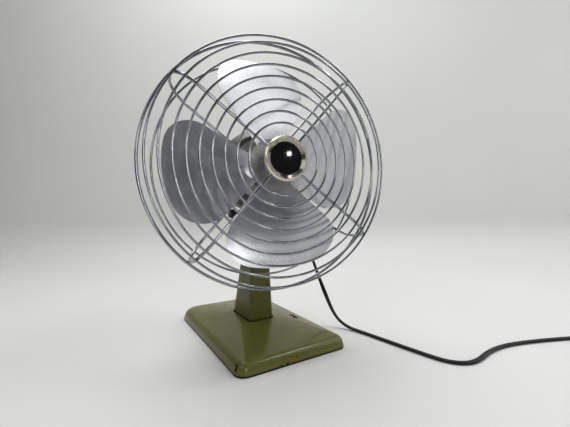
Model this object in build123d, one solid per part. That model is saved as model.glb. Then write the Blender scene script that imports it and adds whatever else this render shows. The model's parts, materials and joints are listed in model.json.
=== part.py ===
"""Desk fan with a stamped steel base, a folded neck, a tilting head and a wire cage.

Frame: origin under the middle of the base, +Z up, the base's front towards -Y. Millimetres.
The head is drawn facing straight ahead and level, then turned on its lug and tilted about the neck bolt.
"""
import os
from math import asin, atan2, cos, degrees, pi, radians, sin, tan

from build123d import *

# Base
BASE_WIDTH = 127.5
BASE_DEPTH = 206.0
FRONT_CORNER = 11.5
REAR_CORNER = 24.0
SIDE_INSET = 3.5
PAD_HEIGHT = 1.6
PAD_INSET = 0.5
EDGE_HEIGHT = 13.0
CROWN_HEIGHT = 19.8
CROWN_WIDTH = 38.0
CROWN_DEPTH = 58.0
CROWN_MARGIN = 24.0
CROWN_CORNER = 18.0
SHEET = 1.4
EDGE_ROUND = 7.0
EDGE_CHAMFER = 4.0
BALLAST_HEIGHT = 4.0
BALLAST_GAP = 1.0
TIE_BOLT_SPACING = 30.0
TIE_BOLT_RADIUS = 2.5
TIE_BOLT_PLAY = 0.2
TIE_BOLT_HEAD_RADIUS = 4.8
TIE_BOLT_HEAD = 2.0
TIE_BOLT_THREAD = 2.0
SLEEVE_RADIUS = 5.0
DRILL = 20.0

# Neck
GASKET_HEIGHT = 1.2
GASKET_LIP = 0.9
NECK_FOOT_WIDTH = 31.0
NECK_FOOT_DEPTH = 50.0
NECK_TOP_WIDTH = 20.0
NECK_TOP_FRONT = -24.5
NECK_TOP_REAR = -1.5
NECK_TOP = 133.0
NECK_CORNER = 4.0
EAR_SHEET = 2.0
EAR_RADIUS = 6.0
EAR_ROOT = 9.0
FOOT_PLATE = 3.0

# Tilt joint
PIVOT_HEIGHT = 145.0
PIVOT_DEPTH = -13.0
PIVOT_RADIUS = 2.5
RUNNING_CLEARANCE = 0.05
LUG_WIDTH = 15.0
LUG_EYE_RADIUS = 5.5
LUG_FRONT = -19.0
LUG_REAR = 11.0
LUG_BITE = 6.0
WASHER = 0.5
BOLT_END = -30.0
BOLT_HEAD_RADIUS = 5.0
BOLT_HEAD = 3.5
BOLT_PLAY = 0.2
KNOB_END = -34.5
KNOB_LENGTH = 8.0
KNOB_STEM_RADIUS = 3.8
KNOB_RADIUS = 5.2
KNOB_FLUTES = 10
KNOB_FLUTE_DEPTH = 0.8
KNOB_GAP = 0.3
HEAD_TURN = -9.0
HEAD_TILT = 2.0

# Motor, measured along the fan axis from the neck's middle, front negative
AXIS_HEIGHT = 192.45
MOTOR_FRONT = -46.0
MOTOR_JOIN = -22.0
MOTOR_BACK = 40.0
FRONT_RADIUS = 46.0
REAR_RADIUS = 40.0
COVER = 1.5
SHAFT_RADIUS = 4.0
SHAFT_FRONT = -92.0
SHAFT_BACK = 20.0
STATOR_FRONT = -20.0
STATOR_BACK = 6.0
STATOR_RADIUS = 37.0
STATOR_BORE = 18.0
ROTOR_RADIUS = 17.5
WINDING_OVERHANG = 7.0
WINDING_RADIUS = 27.5
BEARING_RADIUS = 7.5
BEARING_LENGTH = 11.0
VENT_COUNT = 8
VENT_RADIUS = 19.0
VENT_LENGTH = 13.0
VENT_WIDTH = 3.2
FRONT_ROUND = 7.0
REAR_DOME = 14.0
DOME_STEPS = 4
BOSS = 2.0
BEARING_PROUD = 1.0
BRACKET_WINDOW_RADIUS = 23.0
BRACKET_WINDOW_WIDTH = 24.0
BRACKET_WINDOW_HEIGHT = 14.0
WINDING_WIDTH = 18.0
WINDING_THICKNESS = 7.0
POLES = 4

# Speed switch behind the motor
SWITCH_SIDE = 20.0
SWITCH_BUSH_RADIUS = 4.9
SPINDLE_RADIUS = 2.5
SPINDLE_REACH = 7.5
SPEED_KNOB_RADIUS = 11.5
SPEED_KNOB_SKIRT = 4.5
SPEED_KNOB_GAP = 1.0
SPEED_BAR_WIDTH = 7.0
SPEED_BAR_LENGTH = 19.0
SPEED_BAR_HEIGHT = 9.0

# Wire cage, its radii from the fan axis and its depths along it
RING_COUNT = 9
RING_FIRST = 34.0
RING_LAST = 120.0
RING_WIRE = 2.2
SPOKE_WIRE = 3.0
WELD = 0.1
FACE_DEPTH = -110.5
SEAT = (RING_WIRE + SPOKE_WIRE) / 2 - WELD
SHOULDER = 26.0
RIM_RADIUS = 126.5
RIM_DEPTH = -74.0
SPOKE_RIM = RIM_RADIUS - SPOKE_WIRE + WELD
BACK_RING_RADIUS = 114.5
SPOKE_ANGLES = (48.0, 142.0, 228.0, 322.0)
SPOKE_INNER = 12.0
SPOKE_TAIL = 24.0
CLAMP_OUTER = 34.0
CLAMP_INNER = 20.0
CLAMP_SCREW_RADIUS = 2.0
CLAMP_SCREW_HEAD_RADIUS = 3.6
CLAMP_SCREW_HEAD = 1.8

# Badge on the cage
BADGE_RADIUS = 21.0
BADGE_FACE_RADIUS = 15.4
BADGE_DEPTH = 7.0
BADGE_DISC = 1.2
BADGE_LIP = 0.3
BADGE_CLAMP_RADIUS = 16.0
RIVET_RADIUS = 3.0
RIVET_HEAD_RADIUS = 5.0
RIVET_HEAD = 1.4

# Blade wheel
BLADE_RADIUS = 106.0
BLADE_COUNT = 4
BLADE_FIRST = -5.0
BLADE_SPAN = 76.0
BLADE_CORNER = 27.0
BLADE_HALF_STRIP = 72.0
BLADE_INNER = 8.0
BLADE_TRIM = 4.0
BLADE_SHEET = 1.2
BLADE_MIDDLE = -80.0
BLADE_CAMBER = 8.0
ROOT_PITCH = 32.0
TIP_PITCH = 17.0
HUB_RADIUS = 12.5
HUB_NOSE = 9.0
HUB_BACK = 16.0
SPIDER_RADIUS = 26.0
SPIDER_SHEET = 1.6
GRUB_RADIUS = 2.0
GRUB_LENGTH = 7.0
GRUB_PLACE = 10.0

# Mains lead: its route's corner points after the strain relief, then the put-away coil
CORD_DIAMETER = 5.0
CORD_SIDES = 6
RELIEF_ANGLE = -35.0
RELIEF_DEPTH = 20.0
RELIEF_LENGTH = 26.0
RELIEF_SHANK_RADIUS = 4.4
RELIEF_FLANGE_RADIUS = 5.6
RELIEF_RIBS = 3
RELIEF_RIB_RADIUS = 4.3
RELIEF_TAPER = 0.4
LEAD_FIRST_RUN = 10.0
LEAD_ROUTE = [
    (70.0, 3.5, 138.5),
    (72.0, -7.0, 122.5),
    (74.0, -18.0, 98.0),
    (78.5, -28.5, 69.0),
    (84.5, -39.5, 39.0),
    (90.5, -50.0, 14.0),
    (98.5, -62.5, 3.0),
    (104.0, -82.0, 2.6),
    (107.5, -107.0, 2.6),
    (111.5, -138.0, 2.6),
    (115.5, -165.0, 2.6),
    (119.5, -181.5, 2.6),
    (131.0, -193.0, 2.6),
    (148.0, -195.5, 2.6),
    (175.0, -190.5, 2.6),
    (209.0, -192.5, 2.6),
    (249.0, -206.0, 2.6),
    (286.0, -221.5, 3.3),
]
COIL_HEADING = -27.0
COIL_RUN = 28.0
COIL_OUTER = 36.0
COIL_PITCH = 5.6
COIL_HALF_TURNS = 7
COIL_END_RUN = 17.0
TIE_SHEET = 0.8
TIE_WIDTH = 4.0
PLUG_WIDTH = 25.0
PLUG_HEIGHT = 17.4
PLUG_LENGTH = 22.0
PLUG_NECK = 8.0
PLUG_CORNER = 6.0
PLUG_TAPER = 7.0
PRONG_LENGTH = 17.0
PRONG_SPACING = 12.7
PRONG_THICKNESS = 1.5
PRONG_WIDTH = 6.3


# The head's place: turned on its lug, then tilted about the neck bolt
TILTED = Pos(0, PIVOT_DEPTH, PIVOT_HEIGHT) * Rot(-HEAD_TILT, 0, 0) * Pos(0, -PIVOT_DEPTH, -PIVOT_HEIGHT)
HEAD = TILTED * Rot(0, 0, HEAD_TURN)
FAN_AXIS = HEAD * Pos(0, 0, AXIS_HEIGHT)
RELIEF = FAN_AXIS * Pos(0, RELIEF_DEPTH, 0) * Rot(0, -RELIEF_ANGLE, 0) * Pos(REAR_RADIUS, 0, 0)


def on_axis(shape):
    """Put a shape drawn about the Y axis onto the fan axis of the head."""
    return FAN_AXIS * shape


def turned(*outline):
    """Revolve an outline of (radius, depth) points about the Y axis."""
    return revolve(make_face(Polyline(*outline, close=True)), Axis.Y)


def rod(radius, start, end):
    """A round bar along Y between two depths."""
    return turned((0, start), (radius, start), (radius, end), (0, end))


def tube(outer, inner, start, end):
    """A round tube along Y between two depths."""
    return turned((inner, start), (outer, start), (outer, end), (inner, end))


def around(shape, count, first=0.0):
    """Copies of a shape spread evenly about the Y axis."""
    return [Rot(0, first + step * 360 / count, 0) * shape for step in range(count)]


def polar(radius, angle, depth):
    """A point about the Y axis, the angle counted from +X up towards +Z."""
    return (radius * cos(radians(angle)), depth, radius * sin(radians(angle)))


def write(name, shapes):
    """Save one node, a single solid or a group of separate solids."""
    group = shapes if isinstance(shapes, list) else [shapes]
    solids = [solid for shape in group for solid in shape.solids()]
    export_step(solids[0] if len(solids) == 1 else Compound(solids), f"parts/{name}.step")


def base_plan(inset):
    """The base's outline drawn in by an inset, its rear corners rounder than its front ones."""
    outline = Rectangle(BASE_WIDTH - 2 * inset, BASE_DEPTH - 2 * inset)
    outline = fillet(outline.vertices().sort_by(Axis.Y)[:2], FRONT_CORNER - inset)
    return fillet(outline.vertices().sort_by(Axis.Y)[-2:], REAR_CORNER - inset)


def base_form(inset):
    """The base's outer form, or the same form drawn in by the sheet's thickness."""
    low = PAD_HEIGHT if inset == 0 else PAD_HEIGHT - 1
    edge = EDGE_HEIGHT - inset
    splay = degrees(atan2(SIDE_INSET, EDGE_HEIGHT - PAD_HEIGHT))
    form = Pos(0, 0, low) * extrude(base_plan(inset), edge - low, taper=splay)
    rim = form.faces().sort_by(Axis.Z)[-1].edges()
    form = fillet(rim, EDGE_ROUND) if inset == 0 else chamfer(rim, EDGE_CHAMFER)
    foot = RectangleRounded(BASE_WIDTH - CROWN_MARGIN, BASE_DEPTH - CROWN_MARGIN, CROWN_CORNER)
    top = RectangleRounded(CROWN_WIDTH, CROWN_DEPTH, NECK_CORNER)
    return form + loft([Pos(0, 0, edge) * foot, Pos(0, 0, CROWN_HEIGHT - inset) * top], ruled=True)


def tie_bolt_places():
    """Where the two bolts between base and neck stand."""
    return [Pos(0, side * TIE_BOLT_SPACING / 2, 0) for side in (-1, 1)]


def standing(outline, low, high):
    """An outline drawn on the floor, raised between two heights."""
    return Pos(0, 0, low) * extrude(outline, high - low)


def make_base():
    shell = base_form(0) - base_form(SHEET)
    ballast_low = PAD_HEIGHT
    ballast_top = ballast_low + BALLAST_HEIGHT
    ballast = standing(base_plan(SHEET + BALLAST_GAP + SIDE_INSET / 2), ballast_low, ballast_top)
    pad = extrude(base_plan(PAD_INSET), PAD_HEIGHT)
    hole_radius = TIE_BOLT_RADIUS + TIE_BOLT_PLAY
    head_low = ballast_low + TIE_BOLT_PLAY
    head_top = head_low + TIE_BOLT_HEAD
    thread_top = CROWN_HEIGHT + GASKET_HEIGHT + FOOT_PLATE + TIE_BOLT_THREAD
    bolts = []
    sleeves = []
    for place in tie_bolt_places():
        hole = place * Cylinder(hole_radius, 4 * DRILL)
        shell -= hole
        ballast -= hole
        ballast -= place * standing(Circle(TIE_BOLT_HEAD_RADIUS + TIE_BOLT_PLAY), 0, head_top)
        head = standing(RegularPolygon(TIE_BOLT_HEAD_RADIUS, 6), head_low, head_top)
        shank = standing(Circle(TIE_BOLT_RADIUS), head_top, thread_top)
        bolts.append(place * (head + shank))
        ring = RegularPolygon(SLEEVE_RADIUS, 6) - Circle(hole_radius)
        sleeves.append(place * standing(ring, ballast_top, CROWN_HEIGHT - SHEET))
    write("base_pad", pad)
    write("ballast_plate", ballast)
    write("base_shell", shell)
    write("tie_bolts", bolts)
    write("spacer_sleeves", sleeves)


def tapered(inset, low):
    """The neck's taper, upright in front and sloped behind, its long edges rounded as the sheet is folded."""
    foot_half = NECK_FOOT_WIDTH / 2 - inset
    top_half = NECK_TOP_WIDTH / 2 - inset
    foot_depth = NECK_FOOT_DEPTH / 2 - inset
    front = [(-foot_half, low), (foot_half, low), (top_half, NECK_TOP), (-top_half, NECK_TOP)]
    side = [
        (-foot_depth, low),
        (foot_depth, low),
        (NECK_TOP_REAR - inset, NECK_TOP),
        (NECK_TOP_FRONT + inset, NECK_TOP),
    ]
    across = extrude(Plane.XZ * make_face(Polyline(*front, close=True)), NECK_FOOT_DEPTH, both=True)
    along = extrude(Plane.YZ * make_face(Polyline(*side, close=True)), NECK_FOOT_WIDTH, both=True)
    form = across & along
    folds = form.edges().filter_by(lambda edge: edge.bounding_box().size.Z > 1)
    return fillet(folds, NECK_CORNER - inset)


def make_neck():
    foot_height = CROWN_HEIGHT + GASKET_HEIGHT
    lip = 2 * GASKET_LIP
    outline = RectangleRounded(NECK_FOOT_WIDTH + lip, NECK_FOOT_DEPTH + lip, NECK_CORNER)
    gasket = Pos(0, 0, CROWN_HEIGHT) * extrude(outline, GASKET_HEIGHT)
    column = tapered(0, foot_height) - tapered(SHEET, foot_height)
    plate = RectangleRounded(NECK_FOOT_WIDTH - 1, NECK_FOOT_DEPTH - 1, NECK_CORNER - 1)
    column += Pos(0, 0, foot_height) * extrude(plate, FOOT_PLATE)
    ear_foot = NECK_TOP - EAR_ROOT
    side = make_hull(
        [
            Pos(PIVOT_DEPTH, PIVOT_HEIGHT) * Circle(EAR_RADIUS).edge(),
            Line((NECK_TOP_FRONT + NECK_CORNER, ear_foot), (NECK_TOP_REAR - NECK_CORNER, ear_foot)),
        ]
    )
    ear_inside = NECK_TOP_WIDTH / 2 - EAR_SHEET
    for x in (-NECK_TOP_WIDTH / 2, ear_inside):
        column += Plane.YZ.offset(x) * extrude(side, EAR_SHEET)
    column -= along_x(PIVOT_RADIUS + RUNNING_CLEARANCE, -DRILL, DRILL)
    for place in tie_bolt_places():
        hole = place * Cylinder(TIE_BOLT_RADIUS, 4 * DRILL)
        column -= hole
        gasket -= hole
    write("neck_gasket", gasket)
    write("neck_column", column)


def along_x(radius, start, end):
    """A round bar along the tilt bolt."""
    middle = (start + end) / 2
    return Pos(middle, PIVOT_DEPTH, PIVOT_HEIGHT) * Rot(0, 90, 0) * Cylinder(radius, end - start)


def knob_outline():
    """Points of the fluted grip, ridge and groove by turns."""
    points = []
    for step in range(2 * KNOB_FLUTES):
        radius = KNOB_RADIUS - KNOB_FLUTE_DEPTH * (step % 2)
        angle = pi * step / KNOB_FLUTES
        points.append((radius * cos(angle), radius * sin(angle)))
    return points


def make_tilt_joint():
    ear = NECK_TOP_WIDTH / 2
    at_pivot = Pos(PIVOT_DEPTH, PIVOT_HEIGHT)
    bolt_head = Plane.YZ.offset(ear) * at_pivot * extrude(RegularPolygon(BOLT_HEAD_RADIUS, 6), BOLT_HEAD)
    bolt = along_x(PIVOT_RADIUS, BOLT_END, ear) + bolt_head
    washers = []
    for side in (-1, 1):
        low = LUG_WIDTH / 2 if side > 0 else -LUG_WIDTH / 2 - WASHER
        disc = along_x(EAR_RADIUS, low, low + WASHER)
        washers.append(disc - along_x(PIVOT_RADIUS + BOLT_PLAY, -DRILL, DRILL))
    stem = along_x(KNOB_STEM_RADIUS, KNOB_END + 1, -ear - KNOB_GAP)
    flutes = make_face(Polyline(*knob_outline(), close=True))
    grip = Plane.YZ.offset(KNOB_END) * at_pivot * extrude(flutes, KNOB_LENGTH)
    knob = stem + grip
    knob -= along_x(PIVOT_RADIUS + RUNNING_CLEARANCE, BOLT_END - KNOB_GAP, 0)
    lug_top = AXIS_HEIGHT - REAR_RADIUS + LUG_BITE
    profile = make_hull(
        [
            at_pivot * Circle(LUG_EYE_RADIUS).edge(),
            Line((LUG_FRONT, lug_top), (LUG_REAR, lug_top)),
        ]
    )
    lug = Plane.YZ.offset(-LUG_WIDTH / 2) * extrude(profile, LUG_WIDTH)
    lug = TILTED * lug
    lug -= on_axis(rod(REAR_RADIUS, MOTOR_JOIN, MOTOR_BACK))
    lug -= along_x(PIVOT_RADIUS + RUNNING_CLEARANCE, -DRILL, DRILL)
    write("tilt_bolt", bolt)
    write("tilt_washers", washers)
    write("tilt_knob", knob)
    write("tilt_lug", lug)


def quarter_turn(middle_radius, middle_depth, bend, side):
    """Points of a rounded rim, from its widest point towards the back (1) or the front (-1)."""
    turns = [radians(90 * step / DOME_STEPS) for step in range(DOME_STEPS + 1)]
    return [(middle_radius + bend * cos(turn), middle_depth + side * bend * sin(turn)) for turn in turns]


def relief_hole():
    """The bore through the motor's rear cover for the lead's strain relief."""
    bore = Rot(0, 90, 0) * Cylinder(RELIEF_SHANK_RADIUS + 0.1, DRILL)
    return Rot(0, -RELIEF_ANGLE, 0) * Pos(REAR_RADIUS, RELIEF_DEPTH, 0) * bore


def make_motor_covers():
    face = MOTOR_FRONT
    boss = BEARING_RADIUS + BOSS
    chamfer = 0.6
    front = turned(
        (BEARING_RADIUS, face),
        (FRONT_RADIUS - FRONT_ROUND, face),
        (FRONT_RADIUS, face + FRONT_ROUND),
        (FRONT_RADIUS, MOTOR_JOIN),
        (REAR_RADIUS - COVER, MOTOR_JOIN),
        (REAR_RADIUS - COVER, MOTOR_JOIN - COVER),
        (FRONT_RADIUS - COVER, MOTOR_JOIN - COVER),
        (FRONT_RADIUS - COVER, face + FRONT_ROUND + chamfer),
        (FRONT_RADIUS - FRONT_ROUND - chamfer, face + COVER),
        (boss, face + COVER),
        (boss, face + BEARING_LENGTH),
        (BEARING_RADIUS, face + BEARING_LENGTH),
    )
    flat = REAR_RADIUS - REAR_DOME
    dome_start = MOTOR_BACK - REAR_DOME
    rear = turned(
        (REAR_RADIUS, MOTOR_JOIN),
        *quarter_turn(flat, dome_start, REAR_DOME, 1),
        (SWITCH_BUSH_RADIUS + 0.1, MOTOR_BACK),
        (SWITCH_BUSH_RADIUS + 0.1, MOTOR_BACK - COVER),
        *reversed(quarter_turn(flat, dome_start, REAR_DOME - COVER, 1)),
        (REAR_RADIUS - COVER, MOTOR_JOIN),
    )
    slot = Pos(0, MOTOR_BACK, VENT_RADIUS) * Box(VENT_WIDTH, DRILL, VENT_LENGTH)
    rear -= around(slot, VENT_COUNT)
    rear -= relief_hole()
    write("motor_front_cover", on_axis(front))
    write("motor_rear_cover", on_axis(rear))


def make_motor():
    seat_back = SHAFT_BACK + 2
    seat_front = seat_back - BEARING_LENGTH
    boss = BEARING_RADIUS + BOSS
    bracket = turned(
        (BEARING_RADIUS, seat_front),
        (boss, seat_front),
        (boss, seat_back - COVER),
        (REAR_RADIUS - COVER, seat_back - COVER),
        (REAR_RADIUS - COVER, seat_back),
        (BEARING_RADIUS, seat_back),
    )
    window = Box(BRACKET_WINDOW_WIDTH, DRILL, BRACKET_WINDOW_HEIGHT)
    bracket -= around(Pos(0, seat_back, BRACKET_WINDOW_RADIUS) * window, POLES)
    bracket -= relief_hole()
    stator = tube(STATOR_RADIUS, STATOR_BORE, STATOR_FRONT, STATOR_BACK)
    middle = (STATOR_FRONT + STATOR_BACK) / 2
    length = STATOR_BACK - STATOR_FRONT + 2 * WINDING_OVERHANG
    bundle = Pos(0, middle, WINDING_RADIUS) * Box(WINDING_WIDTH, length, WINDING_THICKNESS)
    windings = around(bundle, POLES, 180 / POLES)
    stator -= windings
    bore = SHAFT_RADIUS + RUNNING_CLEARANCE
    front_bearing = tube(BEARING_RADIUS, bore, MOTOR_FRONT - BEARING_PROUD, MOTOR_FRONT + BEARING_LENGTH)
    rear_bearing = tube(BEARING_RADIUS, bore, seat_front, seat_back)
    rotor = tube(ROTOR_RADIUS, SHAFT_RADIUS, STATOR_FRONT, STATOR_BACK)
    write("bearing_bracket", on_axis(bracket))
    write("stator_core", on_axis(stator))
    write("stator_windings", [on_axis(winding) for winding in windings])
    write("front_bearing", on_axis(front_bearing))
    write("rear_bearing", on_axis(rear_bearing))
    write("motor_shaft", on_axis(rod(SHAFT_RADIUS, SHAFT_FRONT, SHAFT_BACK)))
    write("rotor_core", on_axis(rotor))


def make_switch():
    body_front = SHAFT_BACK + 3
    body_back = MOTOR_BACK - COVER
    rearward = Rot(-90, 0, 0)
    block = extrude(RectangleRounded(SWITCH_SIDE, SWITCH_SIDE, 2), body_back - body_front)
    body = Pos(0, body_front, 0) * rearward * block
    body += rod(SWITCH_BUSH_RADIUS, body_back, MOTOR_BACK + 0.6)
    body -= rod(SPINDLE_RADIUS + RUNNING_CLEARANCE, MOTOR_BACK - SPINDLE_REACH - 0.5, MOTOR_BACK + 2)
    low = MOTOR_BACK + SPEED_KNOB_GAP
    top = low + SPEED_KNOB_SKIRT
    knob = turned((0, low), (SPEED_KNOB_RADIUS, low), (SPEED_KNOB_RADIUS, low + 2), (9, top), (0, top))
    bar = extrude(RectangleRounded(SPEED_BAR_WIDTH, SPEED_BAR_LENGTH, 3.2), SPEED_BAR_HEIGHT, taper=5)
    knob += Pos(0, top - 0.5, 0) * rearward * bar
    knob += rod(SPINDLE_RADIUS, MOTOR_BACK - SPINDLE_REACH, low + 1)
    write("speed_switch", on_axis(body))
    write("speed_knob", on_axis(knob))


def wire_ring(radius, depth, wire, turn):
    """A ring of drawn wire about the fan axis, its round section drawn with six flats."""
    section = Pos(radius, depth) * RegularPolygon(wire / 2, 6, major_radius=False, rotation=turn)
    return revolve(section, Axis.Y)


def seated_ring(radius, spoke_depth, side):
    """A ring welded on the outside of the spokes, in front (-1) or behind (1), over their bend too."""
    reach = SHOULDER + SEAT
    over = max(0.0, radius - (SPOKE_RIM - SHOULDER))
    lean = asin(over / reach)
    depth = spoke_depth + side * (reach * cos(lean) - SHOULDER)
    return wire_ring(radius, depth, RING_WIRE, -side * degrees(lean))


def make_cage():
    face = FACE_DEPTH + SEAT
    tail = MOTOR_FRONT - SPOKE_WIRE / 2
    step = (RING_LAST - RING_FIRST) / (RING_COUNT - 1)
    radii = [RING_FIRST + step * index for index in range(RING_COUNT)]
    rings = [seated_ring(radius, face, -1) for radius in radii]
    hairpin = [(SPOKE_INNER, face), (SPOKE_RIM, face), (SPOKE_RIM, tail), (SPOKE_TAIL, tail)]
    path = FilletPolyline(*hairpin, radius=[SHOULDER, SHOULDER])
    start = Plane(origin=(SPOKE_INNER, face, 0), x_dir=(0, 0, 1), z_dir=(1, 0, 0))
    section = start * RegularPolygon(SPOKE_WIRE / 2, 6, major_radius=False)
    spoke = sweep(section, path)
    spokes = [Rot(0, -angle, 0) * spoke for angle in SPOKE_ANGLES]
    back_rings = [wire_ring(RIM_RADIUS, RIM_DEPTH, SPOKE_WIRE, 90), seated_ring(BACK_RING_RADIUS, tail, 1)]
    write("front_rings", [on_axis(ring) for ring in rings])
    write("guard_spokes", [on_axis(wire) for wire in spokes])
    write("rear_rings", [on_axis(ring) for ring in back_rings])
    make_guard_clamp(tail - SPOKE_WIRE / 2)


def make_guard_clamp(seat):
    """The ring that holds the spokes' inner ends on the motor, with its screws between them."""
    face = seat - COVER
    clamp = tube(CLAMP_OUTER, CLAMP_INNER, face, seat)
    forward = Rot(90, 0, 0)
    head = extrude(RegularPolygon(CLAMP_SCREW_HEAD_RADIUS, 6), CLAMP_SCREW_HEAD, taper=20)
    screw = Pos(0, face, 0) * forward * head + rod(CLAMP_SCREW_RADIUS, face, MOTOR_FRONT)
    screws = []
    for angle in SPOKE_ANGLES:
        place = Pos(*polar((CLAMP_OUTER + CLAMP_INNER) / 2, angle + 45, 0))
        clamp -= place * rod(CLAMP_SCREW_RADIUS, face - DRILL, seat + DRILL)
        screws.append(place * screw)
    write("guard_clamp", on_axis(clamp))
    write("guard_screws", [on_axis(screw) for screw in screws])


def make_badge():
    rear = FACE_DEPTH + SEAT - SPOKE_WIRE / 2
    front = rear - BADGE_DEPTH
    floor = front + 3.0
    disc_back = floor + BADGE_DISC
    bezel = BADGE_FACE_RADIUS + BADGE_LIP
    cup = turned(
        (RIVET_RADIUS, rear),
        (BADGE_RADIUS - 3, rear),
        (BADGE_RADIUS, rear - 3),
        (BADGE_RADIUS, front + 1.2),
        (BADGE_RADIUS - 1.2, front),
        (BADGE_RADIUS - 2.4, front),
        (bezel, floor - 0.6),
        (bezel, disc_back),
        (RIVET_RADIUS, disc_back),
    )
    disc = turned(
        (0, disc_back),
        (BADGE_FACE_RADIUS, disc_back),
        (BADGE_FACE_RADIUS, floor),
        (BADGE_FACE_RADIUS - 0.8, floor - 0.4),
        (0, floor - 0.4),
    )
    clamp_front = rear + SPOKE_WIRE
    clamp_back = clamp_front + BADGE_DISC
    plate = tube(BADGE_CLAMP_RADIUS, RIVET_RADIUS, clamp_front, clamp_back)
    rivet = rod(RIVET_RADIUS, disc_back, clamp_back)
    rivet += rod(RIVET_HEAD_RADIUS, clamp_back, clamp_back + RIVET_HEAD)
    write("badge_cup", on_axis(cup))
    write("badge_disc", on_axis(disc))
    write("badge_clamp", on_axis(plate))
    write("badge_rivet", on_axis(rivet))


def blade_section(reach, pitch):
    """A thin cambered strip across the blade at a distance from the fan axis."""
    half = BLADE_HALF_STRIP
    outer = ThreePointArc((-half, 0), (0, BLADE_CAMBER), (half, 0))
    inner = ThreePointArc((half, -BLADE_SHEET), (0, BLADE_CAMBER - BLADE_SHEET), (-half, -BLADE_SHEET))
    left = Line((-half, -BLADE_SHEET), (-half, 0))
    right = Line((half, 0), (half, -BLADE_SHEET))
    return Pos(0, 0, reach) * Rot(0, 0, pitch) * make_face([outer, right, inner, left])


def blade_outline():
    """One broad blade seen from the front: a sector with its outer corners well rounded."""
    half = radians(BLADE_SPAN / 2)
    left = (-BLADE_RADIUS * sin(half), BLADE_RADIUS * cos(half))
    right = (BLADE_RADIUS * sin(half), BLADE_RADIUS * cos(half))
    rim = ThreePointArc(left, (0, BLADE_RADIUS), right)
    sector = make_face([Line((0, 0), left), rim, Line(right, (0, 0))])
    return fillet(sector.vertices().sort_by(Axis.Y)[1:], BLADE_CORNER)


def make_blades():
    strip = loft(
        [
            blade_section(BLADE_INNER, ROOT_PITCH),
            blade_section(BLADE_RADIUS / 2, (ROOT_PITCH + TIP_PITCH) / 2),
            blade_section(BLADE_RADIUS + BLADE_TRIM, TIP_PITCH),
        ]
    )
    blade = strip & extrude(Plane.XZ * blade_outline(), BLADE_RADIUS / 2, both=True)
    wheel = rod(SPIDER_RADIUS, -SPIDER_SHEET / 2, SPIDER_SHEET / 2)
    for copy in around(blade, BLADE_COUNT, BLADE_FIRST):
        wheel += copy
    wheel = Pos(0, BLADE_MIDDLE, 0) * wheel
    wheel -= rod(HUB_RADIUS, FACE_DEPTH, 0)
    nose = SHAFT_FRONT - 4
    hub = turned(
        (SHAFT_RADIUS, BLADE_MIDDLE + HUB_BACK),
        (HUB_RADIUS - 2, BLADE_MIDDLE + HUB_BACK),
        (HUB_RADIUS, BLADE_MIDDLE + HUB_BACK - 3),
        *quarter_turn(HUB_RADIUS - HUB_NOSE, nose + HUB_NOSE, HUB_NOSE, -1),
        (0, nose),
        (0, SHAFT_FRONT),
        (SHAFT_RADIUS, SHAFT_FRONT),
    )
    grub_place = Pos(0, BLADE_MIDDLE + GRUB_PLACE, SHAFT_RADIUS)
    hub -= grub_place * standing(Circle(GRUB_RADIUS), -1, HUB_RADIUS)
    grub = grub_place * standing(Circle(GRUB_RADIUS), 0, GRUB_LENGTH) - rod(SHAFT_RADIUS, FACE_DEPTH, 0)
    write("blade_wheel", on_axis(wheel))
    write("blade_hub", on_axis(hub))
    write("hub_grub_screw", on_axis(grub))


def make_relief():
    """The ribbed, tapered sleeve that the lead comes out of."""
    collar = 4.0
    rib_step = (RELIEF_LENGTH - 1.5 * collar) / RELIEF_RIBS
    ribbed = [
        (0, -COVER),
        (RELIEF_SHANK_RADIUS, -COVER),
        (RELIEF_SHANK_RADIUS, 0),
        (RELIEF_FLANGE_RADIUS, 0),
        (RELIEF_FLANGE_RADIUS, collar / 2),
        (RELIEF_SHANK_RADIUS, 0.65 * collar),
    ]
    for rib in range(RELIEF_RIBS):
        start = collar + rib * rib_step
        radius = RELIEF_RIB_RADIUS - RELIEF_TAPER * rib
        ribbed += [(radius, start), (radius, start + rib_step * 0.6), (radius - 0.6, start + rib_step * 0.7)]
    ribbed += [(CORD_DIAMETER / 2 + 0.5, RELIEF_LENGTH), (0, RELIEF_LENGTH)]
    write("strain_relief", RELIEF * Rot(0, 0, -90) * turned(*ribbed))


def heading_vector(angle):
    """A level direction, counted from +X towards +Y."""
    return Vector(cos(radians(angle)), sin(radians(angle)), 0)


def lead_points():
    """The lead's corner points, from the strain relief's end to the coil's start."""
    starts = (RELIEF_LENGTH, RELIEF_LENGTH + LEAD_FIRST_RUN)
    points = [(RELIEF * Pos(start, 0, 0)).position for start in starts]
    points += [Vector(*point) for point in LEAD_ROUTE]
    return points + [points[-1] + heading_vector(COIL_HEADING) * COIL_RUN]


def bend_radii(points):
    """The largest arc that the two runs at each corner allow."""
    radii = []
    for before, corner, after in zip(points, points[1:], points[2:]):
        turn = radians((corner - before).get_angle(after - corner))
        run = min((corner - before).length, (after - corner).length)
        radii.append(0.45 * run / tan(turn / 2))
    return radii


def half_turn(start, angle, radius, rise):
    """Half a turn to the right, leaning so that it ends higher by the rise."""
    ahead = heading_vector(angle)
    lean = asin(rise / (2 * radius))
    across = heading_vector(angle - 90) * cos(lean) + Vector(0, 0, sin(lean))
    middle = start + across * radius
    return ThreePointArc(start, middle + ahead * radius, middle + across * radius)


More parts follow.
